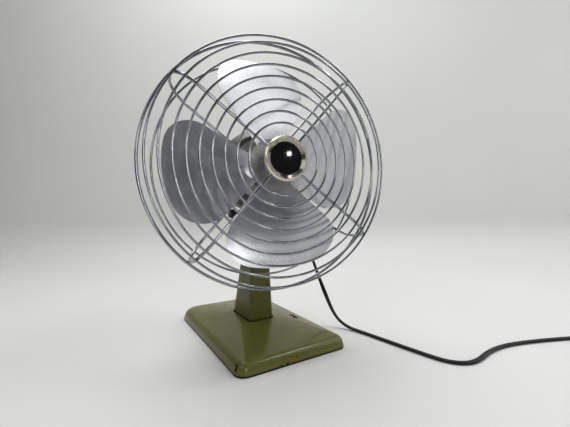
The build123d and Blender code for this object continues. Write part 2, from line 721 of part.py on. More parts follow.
def coil_edges(start):
    """Half turns spiral in, climb a layer where the spiral reverses and spiral out above."""
    winding = [(COIL_OUTER - step * COIL_PITCH / 2, 0) for step in range(COIL_HALF_TURNS)]
    climb = (winding[-1][0] - COIL_PITCH / 2, COIL_PITCH)
    ahead = heading_vector(COIL_HEADING)
    edges = [Line(start, start + ahead * CORD_DIAMETER)]
    angle = COIL_HEADING
    for radius, rise in [*winding, climb, *reversed(winding)]:
        edges.append(half_turn(edges[-1] @ 1, angle, radius, rise))
        angle += 180
    edges.append(Line(edges[-1] @ 1, edges[-1] @ 1 + heading_vector(angle) * COIL_END_RUN))
    return edges


def least_gap(edges):
    """The coil's closest approach to itself, measured between points along it."""
    per_edge = 30
    points = [edge @ (step / per_edge) for edge in edges[1:-1] for step in range(per_edge)]
    gaps = []
    for index, point in enumerate(points):
        gaps += [(point - other).length for other in points[index + per_edge :]]
    return min(gaps) - CORD_DIAMETER


def cord_tube(path):
    """Sweep the lead's section along a path and compare its volume with section times length."""
    section = RegularPolygon(CORD_DIAMETER / 2, CORD_SIDES)
    tube_solid = sweep(Plane(origin=path @ 0, z_dir=path % 0) * section, path)
    print("volume ratio", round(tube_solid.volume / (section.area * path.length), 4))
    return tube_solid


def make_cord():
    points = lead_points()
    radii = bend_radii(points)
    print("lead radii", [round(radius, 1) for radius in radii])
    route = FilletPolyline(*points, radius=radii)
    edges = coil_edges(points[-1])
    coil = Wire(edges)
    print("lead length", round(route.length + coil.length), "least gap", round(least_gap(edges), 2))
    write("cord", cord_tube(route))
    write("cord_coil", cord_tube(coil))
    make_tie(edges)
    make_plug(edges[-1] @ 1)


def make_tie(edges):
    """A flat band drawn tight round both layers where the outer turns are furthest ahead."""
    bite = 0.05
    drift = 0.8
    spots = (1, COIL_HALF_TURNS, COIL_HALF_TURNS + 2, -2)
    middle = sum((edges[spot] @ 0.5 for spot in spots), Vector()) / len(spots)
    reach = (COIL_HALF_TURNS - 1) * COIL_PITCH / 2 + CORD_DIAMETER + drift - bite
    rise = COIL_PITCH + CORD_DIAMETER - 2 * bite
    ahead = heading_vector(COIL_HEADING)
    band = Rectangle(reach + 2 * TIE_SHEET, rise + 2 * TIE_SHEET) - Rectangle(reach, rise)
    frame = Plane(origin=middle - ahead * drift / 2, x_dir=ahead, z_dir=heading_vector(COIL_HEADING - 90))
    write("cord_tie", frame * extrude(band, TIE_WIDTH / 2, both=True))


def make_plug(end):
    """A moulded two-pin plug lying at the coil's outer end."""
    angle = COIL_HEADING + 180
    frame = Plane(origin=end, x_dir=heading_vector(angle - 90), z_dir=heading_vector(angle))
    front = PLUG_NECK + PLUG_LENGTH
    shell = extrude(RectangleRounded(PLUG_WIDTH, PLUG_HEIGHT, PLUG_CORNER), PLUG_LENGTH, taper=PLUG_TAPER)
    neck = loft([Circle(CORD_DIAMETER / 2 + 1.2), Pos(0, 0, PLUG_NECK + 4) * Circle(PLUG_CORNER)])
    body = Pos(0, 0, front) * Rot(180, 0, 0) * shell + neck
    prongs = []
    for side in (-1, 1):
        prong = extrude(Rectangle(PRONG_THICKNESS, PRONG_WIDTH), PRONG_LENGTH)
        prongs.append(frame * Pos(side * PRONG_SPACING / 2, 0, front) * prong)
    write("plug_body", frame * body)
    write("plug_prongs", prongs)


def main():
    os.makedirs("parts", exist_ok=True)
    make_base()
    make_neck()
    make_tilt_joint()
    make_motor_covers()
    make_motor()
    make_switch()
    make_cage()
    make_badge()
    make_blades()
    make_relief()
    make_cord()


main()
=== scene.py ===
"""Looks of a small desk fan: chrome wire cage, polished blades, worn olive paint and a flat twin lead.

Everything is in metres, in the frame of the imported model: +Z up, the base's front towards -Y.
Pieces of the head are drawn about the fan axis, along +Y, and put in place by ON_HEAD.
"""
import json
from math import asin, cos, pi, radians, sin, sqrt, tan

import bpy
from mathutils import Matrix, Quaternion, Vector


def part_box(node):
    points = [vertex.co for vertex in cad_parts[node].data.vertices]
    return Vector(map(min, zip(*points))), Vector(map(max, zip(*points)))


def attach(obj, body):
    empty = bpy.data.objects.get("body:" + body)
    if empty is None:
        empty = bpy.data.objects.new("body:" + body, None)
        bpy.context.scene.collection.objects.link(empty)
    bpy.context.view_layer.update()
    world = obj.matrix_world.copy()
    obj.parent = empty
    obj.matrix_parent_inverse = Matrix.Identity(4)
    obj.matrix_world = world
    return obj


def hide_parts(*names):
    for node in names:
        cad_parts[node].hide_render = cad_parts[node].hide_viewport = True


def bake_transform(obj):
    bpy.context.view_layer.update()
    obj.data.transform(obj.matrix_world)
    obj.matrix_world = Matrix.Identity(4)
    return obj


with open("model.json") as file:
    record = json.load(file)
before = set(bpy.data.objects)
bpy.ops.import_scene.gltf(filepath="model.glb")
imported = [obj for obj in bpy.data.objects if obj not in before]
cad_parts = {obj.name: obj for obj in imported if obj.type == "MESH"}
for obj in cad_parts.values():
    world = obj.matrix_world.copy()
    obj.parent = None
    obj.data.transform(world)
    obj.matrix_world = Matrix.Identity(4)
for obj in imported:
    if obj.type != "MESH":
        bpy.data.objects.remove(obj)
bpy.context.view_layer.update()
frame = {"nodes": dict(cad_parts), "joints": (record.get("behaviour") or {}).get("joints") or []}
MM = 0.001

# Camera, fitted to the photograph's frame
FRAME_WIDTH_PX = 570
FOCAL_PX = 318.8
SENSOR = 36.0
CLIP_START = 10 * MM
CAMERA_PLACE = (-0.1725, -0.3590, 0.1485)
CAMERA_YAW = radians(31.62)
CAMERA_PITCH = radians(-0.6)
CAMERA_ROLL = radians(-0.5)

# Base cover
BASE_HALF_WIDTH = 63.75 * MM
BASE_HALF_DEPTH = 103.0 * MM
FRONT_CORNER = 11.5 * MM
REAR_CORNER = 24.0 * MM
CORNER_STEPS = 10
SIDE_STEPS = 12
SIDE_SPLAY = radians(17.0)
PAD_HEIGHT = 1.6 * MM
SHEET = 1.4 * MM
LIP_STEPS = 8
EDGE_HEIGHT = 13.0 * MM
EDGE_ROLL = 8.5 * MM
ROLL_END = radians(82.0)
ROLL_STEPS = 12
CROWN_HALF_WIDTH = 19.0 * MM
CROWN_HALF_DEPTH = 29.0 * MM
CROWN_CORNER = 4.0 * MM
CROWN_HEIGHT = 19.8 * MM
CROWN_SWELL = 22.0 * MM
CROWN_BULGE = 0.25
CROWN_STEPS = 18

# Wire cage
RING_COUNT = 9
RING_FIRST = 34 * MM
RING_LAST = 120 * MM
RING_STEPS = 144
RING_WIRE = 2.2 * MM
SPOKE_WIRE = 3.0 * MM
WIRE_SIDES = 12
WELD_BITE = 0.1 * MM
SEAT = (RING_WIRE + SPOKE_WIRE) / 2 - WELD_BITE
FACE_DEPTH = -110.5 * MM
SPOKE_FACE = FACE_DEPTH + SEAT
SPOKE_TAIL_DEPTH = -47.5 * MM
SHOULDER = 26 * MM
RIM_RADIUS = 126.5 * MM
RIM_DEPTH = -74 * MM
SPOKE_RIM = RIM_RADIUS - SPOKE_WIRE + WELD_BITE
BACK_RING_RADIUS = 114.5 * MM
SPOKE_ANGLES = (48.0, 142.0, 228.0, 322.0)
SPOKE_INNER = 12 * MM
SPOKE_TAIL = 24 * MM
SPOKE_RUN_STEPS = 8
SPOKE_BEND_STEPS = 12
BEAD_OUTWARD = 1.7 * MM
BEAD_AROUND = 2.0 * MM
BEAD_DEPTH = 1.0 * MM
BEAD_ROWS = 5
BEAD_COLUMNS = 8

# Mains lead
LEAD_WIDTH = 5.0 * MM
LEAD_THICKNESS = 2.8 * MM
LEAD_STEPS = 6
CORE_ARC = radians(125.0)
CORE_POINTS = 7
GROOVE_SHARE = 0.62
FLAT_BELOW = 12 * MM
TURNS_WITHIN = 60 * MM
PLUMB = 0.05
RELIEF_ANGLE = radians(-35.0)
RELIEF_DEPTH = 20 * MM
RELIEF_END = 66 * MM
LEAD_FIRST_RUN = 10 * MM
LEAD_ROUTE = [
    (0.0700, 0.0035, 0.1385),
    (0.0720, -0.0070, 0.1225),
    (0.0740, -0.0180, 0.0980),
    (0.0785, -0.0285, 0.0690),
    (0.0845, -0.0395, 0.0390),
    (0.0905, -0.0500, 0.0140),
    (0.0985, -0.0625, 0.0030),
    (0.1040, -0.0820, 0.0018),
    (0.1075, -0.1070, 0.0018),
    (0.1115, -0.1380, 0.0018),
    (0.1155, -0.1650, 0.0018),
    (0.1195, -0.1815, 0.0018),
    (0.1310, -0.1930, 0.0018),
    (0.1480, -0.1955, 0.0018),
    (0.1750, -0.1905, 0.0018),
    (0.2090, -0.1925, 0.0018),
    (0.2490, -0.2060, 0.0018),
    (0.2860, -0.2215, 0.0018),
]
COIL_HEADING = radians(-27.0)
COIL_RUN = 28 * MM
COIL_OUTER = 36 * MM
COIL_PITCH = 5.6 * MM
COIL_HALF_TURNS = 7
COIL_TURN_POINTS = 8
COIL_RISE = 3.2 * MM
COIL_END_RUN = 17 * MM

# Wear on the paint: the place and size of each spot, and the share of its size that its edge wanders
EDGE_WANDER = 0.8
BASE_CHIPS = [
    ((-0.0200, -0.1030, 0.0018), 0.0012),
    ((-0.0130, -0.1030, 0.0018), 0.0015),
    ((-0.0627, -0.0925, 0.0090), 0.0018),
    ((-0.0632, -0.0930, 0.0060), 0.0020),
    ((0.0452, -0.0180, 0.0148), 0.0028),
    ((0.0452, -0.0225, 0.0148), 0.0034),
    ((0.0450, -0.0270, 0.0148), 0.0034),
    ((0.0447, -0.0315, 0.0148), 0.0026),
    ((0.0230, -0.0570, 0.0160), 0.0010),
]
BASE_STAINS = [((-0.0075, -0.1025, 0.0036), 0.0042), ((-0.0025, -0.1020, 0.0045), 0.0030)]
NECK_CHIPS = [((-0.0100, -0.0240, 0.1310), 0.0010), ((0.0080, -0.0245, 0.0600), 0.0008)]
NECK_STAINS = [((0.0120, -0.0250, 0.0235), 0.0014)]

# Where the metal changes, counted from the fan axis
CUP_WALL = 18.2 * MM
CUP_RIM = 18.6 * MM
# Grease and painted shade darken the blade metal by the hub between these two
GREASE_SHADE_INNER = 22 * MM
GREASE_SHADE_OUTER = 45 * MM
DULL_TIP_START = 80 * MM
DULL_TIP_END = 106 * MM

# Colours, the pairs from a dark to a light tone
OLIVE = (0.106, 0.109, 0.018)
GRIME = (0.060, 0.058, 0.020)
RUST = ((0.045, 0.026, 0.005), (0.285, 0.160, 0.006))
BARE_STEEL = ((0.005, 0.005, 0.005), (0.036, 0.016, 0.007))
CHROME = ((0.28, 0.29, 0.31), (0.39, 0.40, 0.42))
CHROME_PIT = (0.08, 0.07, 0.055)
ALUMINIUM = ((0.55, 0.56, 0.58), (0.67, 0.68, 0.70))
# Grease and painted shade by the hub
GREASE_SHADE = (0.20, 0.19, 0.17)
SPECK = (0.36, 0.35, 0.32)
MOTOR_GREY = ((0.062, 0.067, 0.048), (0.095, 0.100, 0.072))
ZINC = ((0.44, 0.44, 0.42), (0.60, 0.60, 0.58))
ZINC_SPOT = (0.16, 0.14, 0.11)
IRON = ((0.040, 0.038, 0.036), (0.095, 0.088, 0.080))
GOLD = ((0.72, 0.70, 0.55), (0.84, 0.82, 0.68))
GOLD_RUBBED = (0.50, 0.47, 0.34)
# Painted shade inside the badge's cup
GOLD_RECESS_SHADE = (0.34, 0.33, 0.27)
BRASS = ((0.36, 0.24, 0.09), (0.62, 0.46, 0.20))
COPPER = ((0.22, 0.07, 0.03), (0.46, 0.18, 0.08))
FLOOR = ((0.745, 0.74, 0.725), (0.765, 0.76, 0.745))
WALL = ((0.70, 0.71, 0.68), (0.73, 0.74, 0.71))

# The values that most of a noise lies between
NOISE_LOW = 0.3
NOISE_HIGH = 0.7

# A mix node's sockets for colours
MIX_INPUTS = (6, 7)
MIX_OUTPUT = 2

# Faces of a CAD node that meet at less than this are shaded as one
SHARP_ANGLE = radians(32.0)

# Stage, along the camera's heading
FLOOR_ROWS = (-2.5, -0.6)
WALL_DISTANCE = 0.62
WALL_BEND = 0.12
WALL_BEND_STEPS = 16
WALL_HEIGHT = 1.6
STAGE_HALF_WIDTH = 3.0
FLOOR_COLOUR_TOP = 4 * MM
WALL_COLOUR_START = 80 * MM

# Light, the lamps with place, target, width, length, watts and spread in degrees
ROOM_COLOUR = (0.95, 0.97, 1.0, 1.0)
ROOM_LEVEL = 0.12
LAMPS = {
    "key": ((1.2, -0.58, 0.8), (0.0, 0.0, 0.12), 1.4, 1.4, 8.3, 180),
    "fill": ((-1.1, -0.4, 0.9), (0.0, 0.1, 0.15), 0.8, 0.8, 2.3, 180),
    "top": ((0.0, 0.15, 1.4), (0.0, 0.0, 0.0), 0.85, 0.85, 11.5, 180),
    "strip": ((0.55, -0.50, 0.95), (0.0, -0.05, 0.1), 0.35, 0.06, 1.2, 180),
    "window": ((-0.35, -1.40, 0.40), (0.0, -0.05, 0.1), 0.30, 0.50, 0.62, 80),
    "spark": ((0.285, -1.245, 0.485), (0.0, -0.1, 0.19), 0.018, 0.018, 0.04, 180),
}


def head_matrix():
    """From the fan axis, drawn along +Y, to the head's place in the model."""
    spin = next(joint for joint in frame["joints"] if joint["name"] == "blade_spin")
    along = Vector(spin["axis"]).normalized()
    up = Vector((0, -along.z, along.y)).normalized()
    right = along.cross(up)
    turn = Matrix((right, along, up)).transposed().to_4x4()
    return Matrix.Translation(spin["pos_m"]) @ turn


ON_HEAD = head_matrix()


def polar(radius, angle, depth):
    """A point about the fan axis, the angle counted from the right towards the top."""
    return Vector((radius * cos(angle), depth, radius * sin(angle)))


def make_camera():
    """The photograph's camera."""
    data = bpy.data.cameras.new("camera")
    data.sensor_width = SENSOR
    data.lens = SENSOR * FOCAL_PX / FRAME_WIDTH_PX
    data.clip_start = CLIP_START
    camera = bpy.data.objects.new("camera", data)
    flat = cos(CAMERA_PITCH)
    forward = Vector((sin(CAMERA_YAW) * flat, cos(CAMERA_YAW) * flat, sin(CAMERA_PITCH)))
    roll = Quaternion((0, 0, 1), CAMERA_ROLL)
    camera.rotation_mode = "QUATERNION"
    camera.rotation_quaternion = forward.to_track_quat("-Z", "Y") @ roll
    camera.location = CAMERA_PLACE
    bpy.context.collection.objects.link(camera)
    bpy.context.scene.camera = camera


make_camera()


# Node materials


class Paint:
    """A node material with the few building blocks that every finish here is made of.

    The colour and roughness that it starts with are plain ones, for a reader that leaves out the nodes.
    """

    def __init__(self, name, colour, metallic=0.0, roughness=0.5):
        self.material = bpy.data.materials.new(name)
        self.material.use_nodes = True
        self.nodes = self.material.node_tree.nodes
        self.links = self.material.node_tree.links
        self.shader = self.nodes["Principled BSDF"]
        self.put("Base Color", (*colour, 1.0))
        self.put("Metallic", metallic)
        self.put("Roughness", roughness)
        self.place = self.nodes.new("ShaderNodeTexCoord").outputs["Object"]

    def put(self, socket, value):
        self.shader.inputs[socket].default_value = value

    def feed(self, socket, output):
        self.links.new(output, self.shader.inputs[socket])

    def math(self, operation, first, second):
        """Work on two values, each a number or another node's output."""
        node = self.nodes.new("ShaderNodeMath")
        node.operation = operation
        for slot, value in enumerate((first, second)):
            if isinstance(value, (int, float)):
                node.inputs[slot].default_value = value
            else:
                self.links.new(value, node.inputs[slot])
        return node.outputs[0]

    def scaled_place(self, scale):
        """The object's own coordinates, scaled by axis."""
        node = self.nodes.new("ShaderNodeMapping")
        node.inputs["Scale"].default_value = scale
        self.links.new(self.place, node.inputs["Vector"])
        return node.outputs[0]

    def noise(self, scale, detail=4.0, rough=0.55, vector=None):
        node = self.nodes.new("ShaderNodeTexNoise")
        node.inputs["Scale"].default_value = scale
        node.inputs["Detail"].default_value = detail
        node.inputs["Roughness"].default_value = rough
        self.links.new(vector or self.place, node.inputs["Vector"])
        return node.outputs["Fac"]

    def ramp(self, value, low, high, start=0.0, end=1.0):
        """Map a value between two limits onto another range, held at its ends."""
        node = self.nodes.new("ShaderNodeMapRange")
        self.links.new(value, node.inputs["Value"])
        sockets = ("From Min", "From Max", "To Min", "To Max")
        for socket, number in zip(sockets, (low, high, start, end)):
            node.inputs[socket].default_value = number
        return node.outputs[0]

    def vary(self, noise, start=0.0, end=1.0):
        """Spread a noise over a range."""
        return self.ramp(noise, NOISE_LOW, NOISE_HIGH, start, end)

    def mix(self, factor, first, second):
        """Mix two colours, each a colour or another node's output."""
        node = self.nodes.new("ShaderNodeMix")
        node.data_type = "RGBA"
        self.links.new(factor, node.inputs["Factor"])
        for socket, value in zip(MIX_INPUTS, (first, second)):
            if isinstance(value, tuple):
                node.inputs[socket].default_value = (*value, 1.0)
            else:
                self.links.new(value, node.inputs[socket])
        return node.outputs[MIX_OUTPUT]

    def bump(self, height, strength, distance):
        node = self.nodes.new("ShaderNodeBump")
        node.inputs["Strength"].default_value = strength
        node.inputs["Distance"].default_value = distance
        self.links.new(height, node.inputs["Height"])
        self.feed("Normal", node.outputs[0])

    def patches(self, places, ragged, softness):
        """A mask of ragged spots, one for each place and size."""
        mask = None
        for point, size in places:
            wander = self.vary(ragged, -EDGE_WANDER * size, EDGE_WANDER * size)
            edge = self.math("ADD", self.near(point), wander)
            spot = self.ramp(edge, size * (1 - softness), size, 1.0, 0.0)
            mask = spot if mask is None else self.math("MAXIMUM", mask, spot)
        return mask

    def near(self, point):
        """Distance from a point of the object."""
        node = self.nodes.new("ShaderNodeVectorMath")
        node.operation = "DISTANCE"
        self.links.new(self.place, node.inputs[0])
        node.inputs[1].default_value = point
        return node.outputs["Value"]

    def height(self):
        node = self.nodes.new("ShaderNodeSeparateXYZ")
        self.links.new(self.place, node.inputs[0])
        return node.outputs["Z"]

    def reach(self):
        """Distance from the fan axis."""
        back = ON_HEAD.inverted()
        turn = self.nodes.new("ShaderNodeMapping")
        turn.inputs["Location"].default_value = back.translation
        turn.inputs["Rotation"].default_value = back.to_euler()
        self.links.new(self.place, turn.inputs["Vector"])
        flat = self.nodes.new("ShaderNodeVectorMath")
        flat.operation = "MULTIPLY"
        flat.inputs[1].default_value = (1, 0, 1)
        self.links.new(turn.outputs[0], flat.inputs[0])
        length = self.nodes.new("ShaderNodeVectorMath")
        length.operation = "LENGTH"
        self.links.new(flat.outputs[0], length.inputs[0])
        return length.outputs["Value"]


def shade(colour, factor):
    return tuple(channel * factor for channel in colour)


def olive_paint(name, tone, coat, chips, stains):
    """Stoved olive gloss with mottling, peel, grime, pinholes, chips down to steel and a few rust stains."""
    # A tone below 1 darkens the olive as painted shade.
    olive = shade(OLIVE, tone)
    shine = 0.2
    paint = Paint(name, olive, roughness=0.4)
    paint.put("Specular IOR Level", shine)
    paint.put("Coat Roughness", 0.07)
    mottle = paint.vary(paint.noise(28, 5))
    body = paint.mix(mottle, shade(olive, 0.92), shade(olive, 1.06))
    grime = paint.ramp(paint.noise(95, 8, 0.7), 0.58, 0.74, 0.0, 0.3)
    body = paint.mix(grime, body, GRIME)
    ragged = paint.noise(420, 6, 0.65)
    rust = paint.mix(paint.ramp(ragged, 0.40, 0.62), *RUST)
    body = paint.mix(paint.patches(stains, ragged, softness=0.5), body, rust)
    pinholes = paint.ramp(paint.noise(160, 3, 0.5), 0.735, 0.75)
    steel = paint.math("MAXIMUM", paint.patches(chips, ragged, softness=0.1), pinholes)
    bare = paint.mix(paint.ramp(ragged, 0.45, 0.65), *BARE_STEEL)
    paint.feed("Base Color", paint.mix(steel, body, bare))
    gloss = paint.ramp(paint.noise(60, 6), 0.3, 0.75, 0.28, 0.46)
    paint.feed("Roughness", paint.math("ADD", gloss, paint.math("MULTIPLY", steel, 0.5)))
    paint.feed("Specular IOR Level", paint.ramp(steel, 0.0, 1.0, shine, 0.0))
    paint.feed("Coat Weight", paint.ramp(steel, 0.0, 1.0, coat, 0.0))
    peel = paint.math("SUBTRACT", paint.math("MULTIPLY", paint.noise(900, 2), 0.12), steel)
    paint.bump(peel, strength=0.25, distance=0.4 * MM)
    return paint.material


def chrome_wire():
    """Plated wire, a little cloudy, with fine pits."""
    paint = Paint("chrome_wire", (0.34, 0.35, 0.37), metallic=1.0, roughness=0.08)
    cloud = paint.noise(140, 5)
    pits = paint.ramp(paint.noise(1500, 2), 0.70, 0.78)
    tone = paint.mix(paint.ramp(cloud, 0.35, 0.7), *CHROME)
    paint.feed("Base Color", paint.mix(pits, tone, CHROME_PIT))
    paint.feed("Roughness", paint.ramp(cloud, 0.3, 0.75, 0.03, 0.09))
    paint.bump(paint.math("MULTIPLY", pits, -1.0), strength=0.2, distance=0.3 * MM)
    return paint.material


def polished_aluminium(name, roughness, grease_shade_amount):
    """Buffed sheet: faint streaks and specks, clouded, darker by the hub with grease and painted shade, and
    dull at the tips.
    """
    paint = Paint(name, (0.61, 0.62, 0.64), metallic=1.0, roughness=roughness)
    streak = paint.noise(90, 4, 0.6, paint.scaled_place((30.0, 30.0, 3.0)))
    dull = paint.noise(18, 5)
    reach = paint.reach()
    # Darker and rougher by the hub: grease, with painted shade
    thick = paint.ramp(reach, GREASE_SHADE_OUTER, GREASE_SHADE_INNER, 0.0, grease_shade_amount)
    grease_shade = paint.math("MULTIPLY", thick, paint.ramp(dull, 0.3, 0.6))
    specks = paint.ramp(paint.noise(700, 2), 0.71, 0.77, 0.0, 0.4)
    tone = paint.mix(paint.ramp(dull, 0.35, 0.7), *ALUMINIUM)
    tone = paint.mix(grease_shade, tone, GREASE_SHADE)
    paint.feed("Base Color", paint.mix(specks, tone, SPECK))
    rough = paint.math("ADD", paint.vary(dull, -0.03, 0.05), roughness)
    rough = paint.math("ADD", rough, paint.vary(streak, -0.015, 0.02))
    rough = paint.math("ADD", rough, paint.ramp(reach, DULL_TIP_START, DULL_TIP_END, 0.0, 0.10))
    rough = paint.math("ADD", rough, paint.math("MULTIPLY", grease_shade, 0.4))
    paint.feed("Roughness", rough)
    paint.bump(streak, strength=0.012, distance=0.2 * MM)
    return paint.material


def dark_paint():
    """Satin olive grey on the motor, finely textured."""
    paint = Paint("motor_paint", (0.075, 0.080, 0.058), roughness=0.38)
    paint.feed("Base Color", paint.mix(paint.vary(paint.noise(45, 5)), *MOTOR_GREY))
    paint.feed("Roughness", paint.vary(paint.noise(200, 4), 0.28, 0.46))
    paint.bump(paint.noise(1100, 3), strength=0.12, distance=0.4 * MM)
    return paint.material


def plated_steel():
    """Dull zinc plate with brushed streaks and dark spots."""
    paint = Paint("plated_steel", (0.52, 0.52, 0.50), metallic=1.0, roughness=0.34)
    streak = paint.noise(300, 4, 0.6, paint.scaled_place((1.0, 6.0, 6.0)))
    spots = paint.ramp(paint.noise(420, 4), 0.60, 0.70, 0.0, 0.7)
    tone = paint.mix(paint.vary(streak), *ZINC)
    paint.feed("Base Color", paint.mix(spots, tone, ZINC_SPOT))
    paint.feed("Roughness", paint.vary(streak, 0.26, 0.46))
    paint.bump(streak, strength=0.08, distance=0.3 * MM)
    return paint.material


def cast_iron():
    """Dark, rough casting."""
    paint = Paint("cast_iron", (0.060, 0.058, 0.055), metallic=0.4, roughness=0.7)
    grain = paint.noise(600, 6)
    paint.feed("Base Color", paint.mix(paint.vary(grain), *IRON))
    paint.feed("Roughness", paint.vary(grain, 0.6, 0.85))
    paint.bump(grain, strength=0.4, distance=0.6 * MM)
    return paint.material


def cream_gold():
    """Pale gold plate on the badge's turned cup, clouded and rubbed, shinier inside the cup and darker there
    with painted shade.
    """
    paint = Paint("cream_gold", (0.78, 0.76, 0.62), metallic=1.0, roughness=0.2)
    cloud = paint.noise(160, 4)
    rubbed = paint.ramp(paint.noise(900, 3), 0.70, 0.76, 0.0, 0.4)
    # Inside the cup the gold is darkened as painted shade, and made shinier.
    recess_shade = paint.ramp(paint.reach(), CUP_RIM, CUP_WALL)
    tone = paint.mix(paint.vary(cloud), *GOLD)
    tone = paint.mix(rubbed, tone, GOLD_RUBBED)
    paint.feed("Base Color", paint.mix(recess_shade, tone, GOLD_RECESS_SHADE))
    rough = paint.vary(cloud, 0.22, 0.32)
    paint.feed("Roughness", paint.math("SUBTRACT", rough, paint.math("MULTIPLY", recess_shade, 0.14)))
    paint.bump(paint.noise(1400, 2), strength=0.01, distance=0.2 * MM)
    return paint.material


def black_finish(name, level, rough, grain, bump, shine=0.5, dusty=0.008):
    """A black moulded or enamelled finish: faint dust, uneven gloss and a fine grain."""
    paint = Paint(name, (level, level, level), roughness=rough[0])
    paint.put("Specular IOR Level", shine)
    dust = paint.ramp(paint.noise(130, 6, 0.65), 0.45, 0.75)
    pale = level * 2.2 + dusty
    paint.feed("Base Color", paint.mix(dust, (level, level, level * 1.02), (pale, pale, pale * 0.95)))
    paint.feed("Roughness", paint.vary(paint.noise(grain / 4, 4), *rough))
    paint.bump(paint.noise(grain, 3), strength=bump, distance=0.3 * MM)
    return paint.material


def yellow_metal(name, tones, roughness):
    """Brass or copper: warm tone, browned in clouds."""
    paint = Paint(name, tones[1], metallic=1.0, roughness=roughness)
    cloud = paint.noise(250, 5)
    paint.feed("Base Color", paint.mix(paint.ramp(cloud, 0.35, 0.65), *tones))
    paint.feed("Roughness", paint.vary(cloud, roughness - 0.08, roughness + 0.12))
    paint.bump(paint.noise(900, 3), strength=0.1, distance=0.3 * MM)
    return paint.material


def pale_floor():
    """Matt pale paint, a little greener on the wall than on the floor."""
    paint = Paint("floor", (0.755, 0.75, 0.735), roughness=0.55)
    cloud = paint.vary(paint.noise(3, 3))
    rise = paint.ramp(paint.height(), FLOOR_COLOUR_TOP, WALL_COLOUR_START)
    paint.feed("Base Color", paint.mix(rise, paint.mix(cloud, *FLOOR), paint.mix(cloud, *WALL)))
    return paint.material


MATERIALS = {
    "base_paint": olive_paint("base_paint", tone=1.0, coat=0.38, chips=BASE_CHIPS, stains=BASE_STAINS),
    # The neck's olive is darkened to 0.8 of the base's as painted shade.
    "neck_paint_shaded": olive_paint("neck_paint_shaded", tone=0.8, coat=0.08, chips=NECK_CHIPS, stains=NECK_STAINS),
    "chrome": chrome_wire(),
    "blade_metal": polished_aluminium("blade_metal", roughness=0.17, grease_shade_amount=0.75),
    "hub_metal": polished_aluminium("hub_metal", roughness=0.07, grease_shade_amount=0.0),
    "motor_paint": dark_paint(),
    "steel": plated_steel(),
    "iron": cast_iron(),
    "cream_gold": cream_gold(),
    "enamel": black_finish("enamel", 0.002, (0.02, 0.05), grain=900, bump=0.004, dusty=0.002),
    "rubber": black_finish("rubber", 0.004, (0.55, 0.75), grain=1400, bump=0.2, shine=0.15),
    "plastic": black_finish("plastic", 0.014, (0.32, 0.48), grain=1600, bump=0.1),
    "vinyl": black_finish("vinyl", 0.004, (0.34, 0.50), grain=1200, bump=0.08, shine=0.22),
    "brass": yellow_metal("brass", BRASS, roughness=0.28),
    "copper": yellow_metal("copper", COPPER, roughness=0.35),
    "floor": pale_floor(),
}

NODE_FINISH = {
    "base_pad": "rubber",
    "ballast_plate": "iron",
    "tie_bolts": "steel",
    "spacer_sleeves": "steel",
    "neck_gasket": "rubber",
    "neck_column": "neck_paint_shaded",
    "tilt_bolt": "steel",
    "tilt_washers": "steel",
    "tilt_knob": "plastic",
    "tilt_lug": "motor_paint",
    "motor_front_cover": "motor_paint",
    "motor_rear_cover": "motor_paint",
    "bearing_bracket": "steel",
    "stator_core": "steel",
    "stator_windings": "copper",
    "front_bearing": "brass",
    "rear_bearing": "brass",
    "guard_clamp": "steel",
    "guard_screws": "steel",
    "badge_cup": "cream_gold",
    "badge_disc": "enamel",
    "badge_clamp": "steel",
    "badge_rivet": "steel",
    "speed_switch": "plastic",
    "speed_knob": "plastic",
    "strain_relief": "rubber",
    "motor_shaft": "steel",
    "rotor_core": "steel",
    "blade_wheel": "blade_metal",
    "blade_hub": "hub_metal",
    "hub_grub_screw": "steel",
    "plug_body": "vinyl",
    "plug_prongs": "brass",
    "cord_tie": "vinyl",
}


def finish_nodes():
    """Give every CAD node its finish, and smooth its rounded faces."""
    for name, finish in NODE_FINISH.items():
        node = frame["nodes"][name]
        node.data.materials.clear()
        node.data.materials.append(MATERIALS[finish])
        node.data.set_sharp_from_angle(angle=SHARP_ANGLE)


finish_nodes()


# Mesh helpers


def new_piece(name, points, faces, finish):
    mesh = bpy.data.meshes.new(name)
    mesh.from_pydata([tuple(point) for point in points], [], faces)
    mesh.update()
    for polygon in mesh.polygons:
        polygon.use_smooth = True
    mesh.materials.append(MATERIALS[finish])
    piece = bpy.data.objects.new(name, mesh)
    bpy.context.collection.objects.link(piece)
    return piece


def skin(rings, closed, open_start=False):
    """Faces between rings of points, the last joined to the first if the tube is closed, else capped."""
    count = len(rings)
    around = len(rings[0])
    points = [point for ring in rings for point in ring]
    faces = []
    for row in range(count if closed else count - 1):
        low = row * around
        high = (row + 1) % count * around
        for step in range(around):
            after = (step + 1) % around
            faces.append((low + step, low + after, high + after, high + step))
    if not closed:
        faces.append(tuple(range((count - 1) * around, count * around)))
        if not open_start:
            faces.append(tuple(reversed(range(around))))
    return points, faces


def swept(path, section, side_of):
    """Rings of a section carried along a path; side_of gives the section's first axis at a step."""
    rings = []
    for step, point in enumerate(path):
        before = path[max(step - 1, 0)]
        after = path[min(step + 1, len(path) - 1)]
        along = (after - before).normalized()
        side = side_of(step, along)
        side = (side - along * side.dot(along)).normalized()
        over = along.cross(side)
        rings.append([point + side * u + over * v for u, v in section])
    return rings


def wire_section(wire):
    """Points round a wire of the given diameter."""
    turns = [2 * pi * step / WIRE_SIDES for step in range(WIRE_SIDES)]
    return [(wire / 2 * cos(turn), wire / 2 * sin(turn)) for turn in turns]


# Base cover


